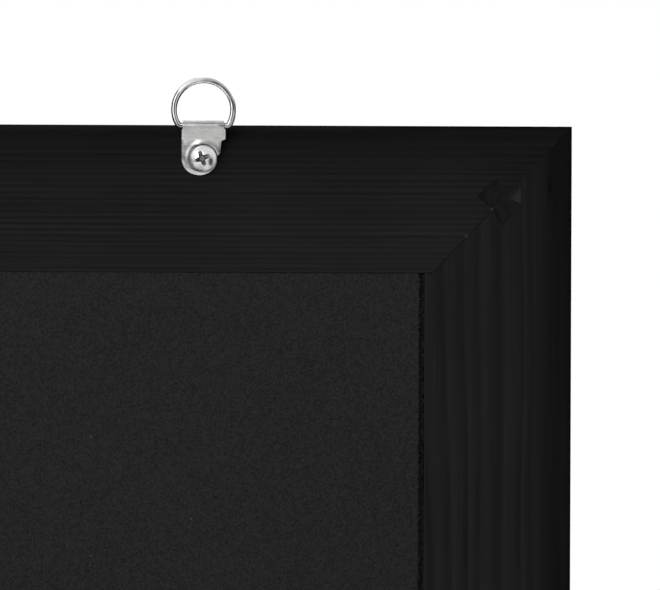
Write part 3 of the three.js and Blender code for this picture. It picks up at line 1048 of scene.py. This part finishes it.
def make_fibres(edge, low_y, high_y, source):
    """Fibres that stick out of the core's sawn side: stained black, with bare brown ones along a few runs,
    darkened by painted shade.
    """
    runs = list(BARE_RUNS)
    at = BARE_RUNS[-1][1] + BARE_PITCH / 2
    while at < edge.length:
        runs.append((at, at + BARE_LENGTH * source.uniform(*BARE_LENGTH_SHARES)))
        at += BARE_PITCH * source.uniform(*BARE_PITCH_SHARES)
    sets = {"stained": ([], []), "bare": ([], [])}
    for spot in np.arange(FIBRE_SPACING, edge.length - FIBRE_SPACING, FIBRE_SPACING):
        kinds = ["stained"] * FIBRE_LAYERS
        if any(first <= spot <= last for first, last in runs):
            kinds = ["bare"] * FIBRE_LAYERS + ["stained"]
        for kind in kinds:
            at = spot + source.normal(0, FIBRE_SCATTER)
            base = edge.place(at, -FIBRE_RADIUS, source.uniform(low_y, high_y))
            reach = FIBRE_LENGTH * source.uniform(*FIBRE_LENGTH_SHARES)
            run = edge.outward * reach + edge.along * source.normal(0, reach / 2)
            run.y = source.normal(*FIBRE_TILT_SHARES) * reach
            points, faces = fibre(base, run, FIBRE_RADIUS * source.uniform(*FIBRE_RADIUS_SHARES), source)
            held, joined = sets[kind]
            offset = len(held)
            held.extend(points)
            joined.extend(tuple(offset + i for i in face) for face in faces)
    looks = (("stained", BACKING, "backing_paper"), ("bare", SHADED_BARE_FIBREBOARD, "fibreboard"))
    for kind, material, slot in looks:
        points, faces = sets[kind]
        piece = mesh_object(f"{kind}_fibres_{edge.name}", points, faces, material)
        keep_attribute(piece, "dark", np.zeros(len(points)))
        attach(piece, "board")


def make_panel():
    low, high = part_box("back_face")
    core_low, core_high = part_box("panel_core")
    source = np.random.default_rng(PANEL_SEED)
    sheet = prism("back_sheet", frayed_rectangle(low, high, source), low.y, high.y, BACKING)
    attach(sheet, "board")
    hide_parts("back_face")
    width = high.x - low.x
    height = high.z - low.z
    edges = [
        LooseEdge("side", (low.x, 0, high.z), (0, 0, -1), (-1, 0, 0), height),
        LooseEdge("bottom", (low.x, 0, low.z), (1, 0, 0), (0, 0, -1), width),
    ]
    fibres_low = core_high.y - (core_high.y - core_low.y) * FIBRE_DEPTH_SHARE
    for edge in edges:
        make_torn_edge(edge, high.y, source)
        make_dust(edge, high.y, source)
        make_fibres(edge, fibres_low, core_high.y, source)
    for node, material in (
        ("chalk_face", CHALK),
        ("panel_core", FIBREBOARD),
        ("bond_strip_top", BOND),
        ("bond_strip_bottom", BOND),
        ("bond_strip_left", BOND),
        ("bond_strip_right", BOND),
    ):
        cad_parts[node].data.materials.clear()
        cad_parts[node].data.materials.append(material)


make_panel()


# Hangers: w runs across from the screw towards +X, and drop down from the frame's top edge

WIRE = 0.000875
RING_RADIUS = 0.008
RING_DROP = 0.00434
RING_BEND = 0.001
RING_ARC_POINTS = 260
RING_BEND_POINTS = 8
WIRE_SIDES = 60
WIRE_BASE = 160
# Reflections along the wire: first and last angle round the ring, the angles across the wire where they
# start and end, half their width and how much lighter they are, in sRGB levels
WIRE_STROKES = (
    (-40, 80, 16, 16, 14, -60),
    (-60, 215, 168, 168, 16, -62),
    (84, 160, 6, 8, 17, -55),
    (22, 158, 42, 42, 20, 46),
    (88, 136, 40, 42, 20, 38),
    (-20, 8, 46, 50, 20, -45),
    (88, 142, 76, 70, 12, -48),
    (150, 215, 32, 36, 21, -58),
    (150, 215, 47, 49, 13, -90),
    (150, 215, 67, 67, 7, 14),
    (154, 215, 88, 87, 10, -175),
    (154, 212, 107, 106, 7, 65),
    (154, 212, 128, 127, 9, -105),
    (100, 152, 96, 108, 8, 40),
    (128, 164, 120, 131, 9, -60),
    (-60, -4, 98, 102, 14, -40),
    (-12, 12, 119, 119, 7, 48),
    (8, 66, 82, 100, 11, -108),
    (22, 40, 104, 104, 10, -80),
    (66, 86, 98, 106, 10, -50),
    (34, 120, 132, 138, 14, 95),
    (-16, 14, 138, 137, 11, -110),
    (-14, 12, 99, 98, 9, -125),
    (-14, 12, 76, 76, 7, 40),
    (-14, 14, 62, 62, 9, -15),
)
STROKE_FADE = 14
WIRE_LEVELS = (30, 255)

SHEET = 0.0007
FOLD_GAP = 0.0001
LOOP_CLEARANCE = 0.0002
NECK_LENGTH = 0.0036
LOOP_INSET = 0.00026
INSET_DROPS = (0.0010, 0.0016)
# Painted reflections over the strap's loop, light and dark lines: how far down, half their width and how much
# lighter they are
STRAP_BANDS = (
    (-0.00110, 0.00022, 72),
    (-0.00026, 0.00026, -78),
    (0.00050, 0.0006, -36),
)
# Painted levels of the loop, of the plate below it and of the plate's lower part, and lighter steps, painted
# highlights, on the lower layer's end
STRAP_LEVEL = 178
PLATE_LEVEL = 138
PLATE_DROPS = (0.0031, 0.0041)
BOSS_LEVEL = 105
BOSS_DROPS = (0.0050, 0.0061)
UNDER_STEPS = ((0.0093, 0.0101, 25), (0.0114, 0.0124, 28))
STRAP_STEP = 0.00016
STRAP_COLUMNS = 80
STRAP_END_ROWS = 34
LOOP_ROWS = 48
SHOULDER = (0.0039, 0.0045)
SHOULDER_HALF = 0.00485
TAPER_HALF = 0.00444
CHAMFER = (0.0079, 0.0086)
# The round ends of the lower and the upper layer: their middles across and down, and their radii
UNDER_END = (0.00115, 0.0094, 0.00475)
OVER_END = (0.00100, 0.0088, 0.0043)
END_SQUASH = 0.905
OVER_LEFT = 0.0054
BOSS_RADIUS = 0.0043
BOSS_WIDTH = 0.0004
BOSS_HEIGHT = 0.0002
BOSS_HEIGHT_SHARES = (0.3, 0.7)
BOSS_FACING = (0.3, 1)
BOSS_SIDE = math.radians(125)
SHEET_EDGE = 0.00016
SHEET_EDGE_STEPS = 3
SHEET_EDGE_ANGLE = math.radians(50)

HEAD_RADIUS = 0.00345
HEAD_HEIGHT = 0.0024
HEAD_SIDE = 0.0006
HEAD_CROWN = 2.0
SCREW_SAG = 0.0005
HEAD_SEGMENTS = 96
HEAD_STEPS = 18
# The head's lower edge, as shares of its radius and of its side
HEAD_EDGE_SHARES = (0.96, 0.2)
SHANK_RADIUS = 0.00145
RECESS_REACH = 0.0027
RECESS_WIDTH = 0.00115
RECESS_WIDTH_SHARES = (0.45, 0.55)
RECESS_TIP_SHARE = 0.8
RECESS_ROOT_SHARE = 1.15
RECESS_DEPTH = 0.0018
RECESS_TURN = math.radians(-21)
RECESS_OFF = (0.0004, -0.0001)
RECESS_RING_SHARES = ((0.25, 1.0), (0.62, 0.5), (0.98, 0.22), (1.12, -0.5))
RECESS_SHARP = math.radians(30)

# Painted reflections, highlights and shade on the strap's face, in sRGB levels. Runs go across from the
# screw, down from the top edge or out from the screw's middle, and a line has a place and half a width
STRAP_LEVELS = (40, 255)
RIGHT_RUN = (-0.001, 0.001)
RIGHT_SHARES = (0.4, 0.6)
CORNER_SHADE = 60
CORNER_RUN = (0.0034, 0.0046)
CORNER_LINE = (0.0003, 0.00028)
SHOULDER_SHADE = 28
SHOULDER_RUN = (0.0038, 0.0046)
SHOULDER_DROPS = (0.0042, 0.0049)
LOWER_SHADE = 20
LOWER_RUN = (0.001, 0.002)
LOWER_DROPS = (0.0083, 0.0090)
ABOVE_SHADE = 95
ABOVE_RUN = (0.0018, 0.0024)
ABOVE_SLANT = 0.45
ABOVE_LINE = (HEAD_RADIUS + 0.00015, 0.0002)
BESIDE_SHADE = 20
BESIDE_START = (0.0005, 0.002)
BESIDE_LINE = (BOSS_RADIUS, 0.0005)
SPOT_LIGHT = 90
SPOT_PLACE = (0.00165, 0.0043)
SPOT_RADIUS = 0.0007
BELOW_SHADE = 65
BELOW_DROPS = (0.0116, 0.0122)
BELOW_LINE = (HEAD_RADIUS + 0.0003, 0.00024)

# Tones on the screw's head. Its marks are a painted highlight above its middle towards +X, a dark patch
# beside the recess below it towards -X and a weaker dark patch below it towards +X: how much lighter each is,
# and its middle and half its width, first across and then down
HEAD_LEVEL = 214
HEAD_LEVELS = (60, 255)
HEAD_MARKS = (
    (22, (0.0028, 0.0014), (-0.0016, 0.0014)),
    (-240, (-0.0020, 0.00052), (0.0010, 0.00095)),
    (-60, (0.0025, 0.0005), (0.0008, 0.0004)),
)
# A painted shade round the head's rim
HEAD_RIM = (0.00005, 0.0002)
HEAD_RIM_SHADE = 25

# Painted shade in the recess: darker where it faces up and on its floor, and uneven
FACET_LEVEL = 105
FACET_LEVELS = (40, 220)
FACET_SLOPE = 60
FACET_SPREAD = 28
RECESS_FLOOR_FACING = 0.9
RECESS_FLOOR_SHADE = 45
SCREW_SEED = 9


def ring_path():
    """The wire's centre line in X and Z, with its bar at height zero."""
    rise = RING_DROP - RING_BEND
    half = math.sqrt((RING_RADIUS - RING_BEND) ** 2 - rise ** 2)
    bend = math.atan2(-rise, half)
    arc = arc_points((0, RING_DROP), (RING_RADIUS, RING_RADIUS), bend, math.pi - bend, RING_ARC_POINTS)
    arc.append((-arc[0][0], arc[0][1]))
    corner = arc_points((half, RING_BEND), (RING_BEND, RING_BEND), -math.pi / 2, bend, RING_BEND_POINTS)
    other = [(-x, z) for x, z in reversed(corner)]
    bar = line_points(other[-1], corner[0], RING_BEND)[1:]
    return corner + arc + other + bar


def returned(level):
    """The share of light that a surface returns, from its sRGB level."""
    return grey(level)[0]


def wire_level(around, turn):
    """The wire's sRGB level, with its painted reflections, at angles round the ring and round its section, in
    degrees.
    """
    level = WIRE_BASE
    for first, last, start, end, half, shift in WIRE_STROKES:
        centre = start + (end - start) * clamp((around - first) / (last - first))
        begun = smoothstep(first - STROKE_FADE, first, around)
        ended = smoothstep(last, last + STROKE_FADE, around)
        level = level + shift * begun * (1 - ended) * soft_line(turn, centre, half)
    return clamp(level, *WIRE_LEVELS)


def make_ring(side, x):
    low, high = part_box(f"hanger_ring_{side}")
    axis_y = (low.y + high.y) / 2
    axis_z = low.z + WIRE
    path = ring_path()
    count = len(path)
    points = []
    faces = []
    shine = []
    for i, (px, pz) in enumerate(path):
        before, after = path[i - 1], path[(i + 1) % count]
        run = Vector((after[0] - before[0], after[1] - before[1])).normalized()
        around = math.degrees(math.atan2(pz - RING_DROP, -px))
        around += 360 if around < -90 else 0
        j = (i + 1) % count
        for k in range(WIRE_SIDES):
            angle = 2 * math.pi * k / WIRE_SIDES
            out = WIRE * math.cos(angle)
            points.append((x + px + run.y * out, axis_y + WIRE * math.sin(angle), axis_z + pz - run.x * out))
            turn = math.degrees(math.acos(math.cos(angle)))
            shine.append(returned(float(wire_level(around, turn))))
            m = (k + 1) % WIRE_SIDES
            faces.append((i * WIRE_SIDES + k, i * WIRE_SIDES + m, j * WIRE_SIDES + m, j * WIRE_SIDES + k))
    piece = mesh_object(f"ring_wire_{side}", points, faces, RING_STEEL)
    keep_attribute(piece, "shine", shine)
    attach(piece, f"ring_{side}")
    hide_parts(f"hanger_ring_{side}")


def strap_sides(drop, end, left, loop_half):
    """The strap's two sides, as places across, at a distance below the top edge."""
    centre, middle, radius = end
    if drop >= middle:
        reach = math.sqrt(max(radius ** 2 - ((drop - middle) / END_SQUASH) ** 2, 0))
        return centre + reach, centre - reach
    shoulder = smoothstep(*SHOULDER, drop)
    taper = clamp((drop - SHOULDER[1]) / (CHAMFER[0] - SHOULDER[1]))
    turn = clamp((drop - CHAMFER[0]) / (CHAMFER[1] - CHAMFER[0]))
    half = loop_half + (SHOULDER_HALF - loop_half) * shoulder + (TAPER_HALF - SHOULDER_HALF) * taper
    half += (radius - centre - half) * turn
    inset = LOOP_INSET * (1 - smoothstep(*INSET_DROPS, drop))
    return float(loop_half + (left - loop_half) * shoulder - inset), float(inset - half)


def strap_rows(axis_y, axis_z, loop_half):
    """Rows (y, drop, sides) of the folded sheet: from the wood side's end up, round the bar and down."""
    radius = WIRE + LOOP_CLEARANCE + SHEET / 2
    offset = axis_y - SHEET / 2
    axis_drop = TOP - axis_z
    layers = []
    for sign, end, left in ((-1, UNDER_END, loop_half), (1, OVER_END, OVER_LEFT)):
        drops = list(np.arange(axis_drop, end[1], STRAP_STEP))
        angles = np.linspace(0, math.pi / 2, STRAP_END_ROWS)[:-1]
        drops += [end[1] + end[2] * END_SQUASH * math.sin(a) for a in angles]
        layer = []
        for drop in drops:
            bulge = (radius - offset) * float(1 - smoothstep(axis_drop, axis_drop + NECK_LENGTH, drop))
            layer.append((axis_y + sign * (offset + bulge), drop, strap_sides(drop, end, left, loop_half)))
        layers.append(layer)
    loop = []
    for angle in np.linspace(-math.pi / 2, math.pi / 2, LOOP_ROWS)[1:-1]:
        drop = axis_drop - radius * math.cos(angle)
        half = loop_half - LOOP_INSET
        loop.append((axis_y + radius * math.sin(angle), drop, (half, -half)))
    return list(reversed(layers[0])) + loop + layers[1]


def strap_level(w, drop, r):
    """How light the strap's face is, in sRGB levels, with painted reflections and shade over the fold, round
    the boss and round the screw's head.
    """
    level = STRAP_LEVEL - (STRAP_LEVEL - PLATE_LEVEL) * smoothstep(*PLATE_DROPS, drop)
    right = RIGHT_SHARES[0] + RIGHT_SHARES[1] * smoothstep(*RIGHT_RUN, w)
    level = level - (PLATE_LEVEL - BOSS_LEVEL) * right * smoothstep(*BOSS_DROPS, drop)
    for centre, half, shift in STRAP_BANDS:
        level = level + shift * soft_line(drop, centre, half)
    level = level - CORNER_SHADE * smoothstep(*CORNER_RUN, -w) * soft_line(drop, *CORNER_LINE)
    level = level - SHOULDER_SHADE * smoothstep(*SHOULDER_RUN, -w) * smoothstep(*SHOULDER_DROPS, drop)
    level = level - LOWER_SHADE * smoothstep(*LOWER_RUN, w) * smoothstep(*LOWER_DROPS, drop)
    above = smoothstep(*ABOVE_RUN, SCREW_DROP - drop - ABOVE_SLANT * w)
    level = level - ABOVE_SHADE * above * soft_line(r, *ABOVE_LINE)
    level = level - BESIDE_SHADE * smoothstep(*BESIDE_START, -w) * soft_line(r, *BESIDE_LINE)
    spot = np.hypot(w - SPOT_PLACE[0], drop - SCREW_DROP + SPOT_PLACE[1])
    level = level + SPOT_LIGHT * soft_line(spot, 0, SPOT_RADIUS)
    return clamp(level - under_shadow(drop, r), *STRAP_LEVELS)


def under_shadow(drop, r):
    """The painted shadow line below the screw's head."""
    return BELOW_SHADE * smoothstep(*BELOW_DROPS, drop) * soft_line(r, *BELOW_LINE)


def under_level(drop, r):
    """The same for the layer underneath, whose end shows below and beside the upper one."""
    level = STRAP_LEVEL - (STRAP_LEVEL - BOSS_LEVEL) * smoothstep(*PLATE_DROPS, drop)
    for first, last, shift in UNDER_STEPS:
        level = level + shift * smoothstep(first, last, drop)
    return level - under_shadow(drop, r)


def make_strap(side, x):
    """One folded sheet, with a raised ring round the screw's head."""
    low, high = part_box(f"hanger_strap_{side}")
    ring_low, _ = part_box(f"hanger_ring_{side}")
    axis_y = SHEET + FOLD_GAP / 2
    rows = strap_rows(axis_y, ring_low.z + WIRE, (high.x - low.x) / 2)
    points = []
    for y, drop, (left, right) in rows:
        outer = y > axis_y and drop > SHOULDER[0] / 2
        for w in np.linspace(left, right, STRAP_COLUMNS):
            r = math.hypot(w, drop - SCREW_DROP)
            facing = math.cos(math.atan2(SCREW_DROP - drop, -w) - BOSS_SIDE)
            share = BOSS_HEIGHT_SHARES[0] + BOSS_HEIGHT_SHARES[1] * smoothstep(*BOSS_FACING, facing)
            lift = BOSS_HEIGHT * share * soft_line(r, BOSS_RADIUS, BOSS_WIDTH) if outer else 0
            points.append((x + w, y + lift, TOP - drop))
    faces = []
    for i in range(len(rows) - 1):
        for j in range(STRAP_COLUMNS - 1):
            a = i * STRAP_COLUMNS + j
            faces.append((a, a + 1, a + STRAP_COLUMNS + 1, a + STRAP_COLUMNS))
    piece = mesh_object(f"strap_sheet_{side}", points, faces, STRAP_STEEL)
    solid = piece.modifiers.new("sheet", "SOLIDIFY")
    solid.thickness = SHEET
    solid.offset = 0
    apply_modifiers(piece)
    bevel(piece, SHEET_EDGE, SHEET_EDGE_STEPS, SHEET_EDGE_ANGLE)
    piece.data.polygons.foreach_set("use_smooth", [True] * len(piece.data.polygons))
    places = corners_of(piece)
    w = places[:, 0] - x
    drop = TOP - places[:, 2]
    r = np.hypot(w, drop - SCREW_DROP)
    # Painted reflections and shade on both layers
    level = np.where(places[:, 1] > axis_y, strap_level(w, drop, r), under_level(drop, r))
    keep_attribute(piece, "shine", [returned(value) for value in level])
    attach(piece, "board")
    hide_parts(f"hanger_strap_{side}")


def cross_outline(scale):
    """A cross with arms along X and Z, a little wider at their roots."""
    reach = RECESS_REACH * scale
    half = RECESS_WIDTH / 2 * (RECESS_WIDTH_SHARES[0] + RECESS_WIDTH_SHARES[1] * scale)
    tip = half * RECESS_TIP_SHARE
    root = half * RECESS_ROOT_SHARE
    arm = [(reach, -tip), (reach, tip), (root, root)]
    outline = []
    for k in range(4):
        cos, sin = round(math.cos(k * math.pi / 2)), round(math.sin(k * math.pi / 2))
        outline += [(cos * px - sin * pz, sin * px + cos * pz) for px, pz in arm]
    return outline


def head_level(w, down):
    """How light the screw's head is, in sRGB levels, with its painted highlight, dark patches and painted
    shade round its rim.
    """
    level = HEAD_LEVEL
    for shift, across, below in HEAD_MARKS:
        level = level + shift * soft_line(w, *across) * soft_line(down, *below)
    level = level - HEAD_RIM_SHADE * fade_out(HEAD_RIM, HEAD_RADIUS - np.hypot(w, down))
    return clamp(level, *HEAD_LEVELS)


def make_screw(side, x):
    low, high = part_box(f"hanger_screw_{side}")
    seat = high.y - HEAD_HEIGHT
    centre_z = TOP - SCREW_DROP
    profile = [
        (SHANK_RADIUS, seat - OVERRUN),
        (SHANK_RADIUS, seat),
        (HEAD_RADIUS * HEAD_EDGE_SHARES[0], seat),
        (HEAD_RADIUS, seat + HEAD_SIDE * HEAD_EDGE_SHARES[1]),
    ]
    dome = HEAD_HEIGHT - HEAD_SIDE
    for share in np.linspace(1, 0, HEAD_STEPS)[:-1]:
        profile.append((HEAD_RADIUS * share, seat + HEAD_SIDE + dome * (1 - share ** HEAD_CROWN)))
    turns = np.arange(HEAD_SEGMENTS) * 2 * math.pi / HEAD_SEGMENTS
    rings = [[(x + out * math.cos(a), y, centre_z + out * math.sin(a)) for a in turns] for out, y in profile]
    piece = loft(f"screw_head_{side}", rings, SCREW_STEEL)
    cos, sin = math.cos(RECESS_TURN), math.sin(RECESS_TURN)
    middle_x, middle_z = x + RECESS_OFF[0], centre_z + RECESS_OFF[1]
    rings = []
    for scale, depth in RECESS_RING_SHARES:
        y = high.y - RECESS_DEPTH * depth
        rings.append([
            (middle_x + cos * px - sin * pz, y, middle_z + sin * px + cos * pz)
            for px, pz in cross_outline(scale)
        ])
    cut(piece, [loft("cutter", rings, RECESS_STEEL, smooth=False)])
    piece.data.set_sharp_from_angle(angle=RECESS_SHARP)
    source = np.random.default_rng(SCREW_SEED)
    places = corners_of(piece)
    head = [returned(value) for value in head_level(places[:, 0] - x, centre_z - places[:, 2])]
    # Painted shade on each facet of the recess, by the way it faces
    shine = []
    for face in piece.data.polygons:
        shade = RECESS_FLOOR_SHADE if face.normal.y > RECESS_FLOOR_FACING else 0
        level = FACET_LEVEL - FACET_SLOPE * face.normal.z - shade + source.normal(0, FACET_SPREAD)
        facet = returned(clamp(level, *FACET_LEVELS))
        shine.extend(facet if face.material_index > 0 else head[corner] for corner in face.vertices)
    keep_attribute(piece, "shine", shine, "CORNER")
    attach(piece, "board")
    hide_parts(f"hanger_screw_{side}")


screw_low, screw_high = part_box("hanger_screw_left")
SCREW_DROP = TOP - (screw_low.z + screw_high.z) / 2 + SCREW_SAG
for side in ("left", "right"):
    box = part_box(f"hanger_ring_{side}")
    hanger_x = (box[0].x + box[1].x) / 2
    make_ring(side, hanger_x)
    make_strap(side, hanger_x)
    make_screw(side, hanger_x)


# Studio

FLOOR_RADIUS = 1.4
FLOOR_SIDES = 96
FLOOR_TONES = ((0.86, 0.86, 0.86), (0.90, 0.90, 0.90))
FLOOR_ROUGHNESS = 0.9
WORLD_LIGHT = 0.35
LAMP_SIZE = 2.8
LAMP_DISTANCE = 2.6
LAMP_WATTS = 85
LAMPS = {"key": (0.6, 1.0, 0.5), "front_key": (-0.6, -1.0, 0.5)}
CLIP_START = 0.01


def make_floor():
    ring = [
        (FLOOR_RADIUS * math.cos(a), FLOOR_RADIUS * math.sin(a), BOTTOM)
        for a in np.arange(FLOOR_SIDES) * 2 * math.pi / FLOOR_SIDES
    ]
    finish = Finish("studio_floor")
    cloud = finish.noise(finish.place(), scale=3.0)
    material = finish.shade(finish.mix(cloud, *FLOOR_TONES), FLOOR_ROUGHNESS)
    floor = mesh_object("studio_floor", ring, [tuple(range(FLOOR_SIDES))], material)


def make_world():
    """White to the camera and in reflections, and dimmer as a light."""
    world = bpy.data.worlds.new("studio")
    bpy.context.scene.world = world
    world.use_nodes = True
    nodes = Nodes(world.node_tree)
    rays = nodes.add("LightPath").outputs
    seen = nodes.total(rays["Is Camera Ray"], rays["Is Glossy Ray"], rays["Is Transmission Ray"])
    strength = nodes.span(seen, 0.0, 1.0, WORLD_LIGHT, 1.0)
    background = nodes.add("Background", {"Color": (1, 1, 1, 1), "Strength": strength})
    nodes.add("OutputWorld", {"Surface": background.outputs[0]})


def make_lamp(name, direction):
    lamp = bpy.data.lights.new(name, "AREA")
    lamp.shape = "SQUARE"
    lamp.size = LAMP_SIZE
    lamp.energy = LAMP_WATTS
    holder = bpy.data.objects.new(name, lamp)
    bpy.context.scene.collection.objects.link(holder)
    aim = Vector(direction).normalized()
    holder.location = MIDDLE + aim * LAMP_DISTANCE
    holder.rotation_euler = aim.to_track_quat("Z", "Y").to_euler()


def make_camera():
    centre_x = LEFT + (CORNER_PX[0] - PHOTO_WIDTH / 2) / PIXELS_PER_MM * MM
    centre_z = TOP - (PHOTO_HEIGHT / 2 - CORNER_PX[1]) / PIXELS_PER_MM * MM
    view_width = PHOTO_WIDTH / PIXELS_PER_MM * MM
    camera = bpy.data.cameras.new("camera")
    camera.lens = LENS_MM
    camera.sensor_width = SENSOR_MM
    camera.sensor_fit = "HORIZONTAL"
    camera.clip_start = CLIP_START
    holder = bpy.data.objects.new("camera", camera)
    bpy.context.scene.collection.objects.link(holder)
    distance = view_width * LENS_MM / SENSOR_MM
    facing = Matrix.Rotation(math.pi, 4, "Z") @ Matrix.Rotation(math.pi / 2, 4, "X")
    roll = Matrix.Rotation(CAMERA_ROLL, 4, "Z")
    holder.matrix_world = Matrix.Translation((centre_x, WALL + distance, centre_z)) @ facing @ roll
    bpy.context.scene.camera = holder


make_floor()
make_world()
for name, direction in LAMPS.items():
    make_lamp(name, direction)
make_camera()
bpy.context.scene.view_settings.view_transform = "Standard"
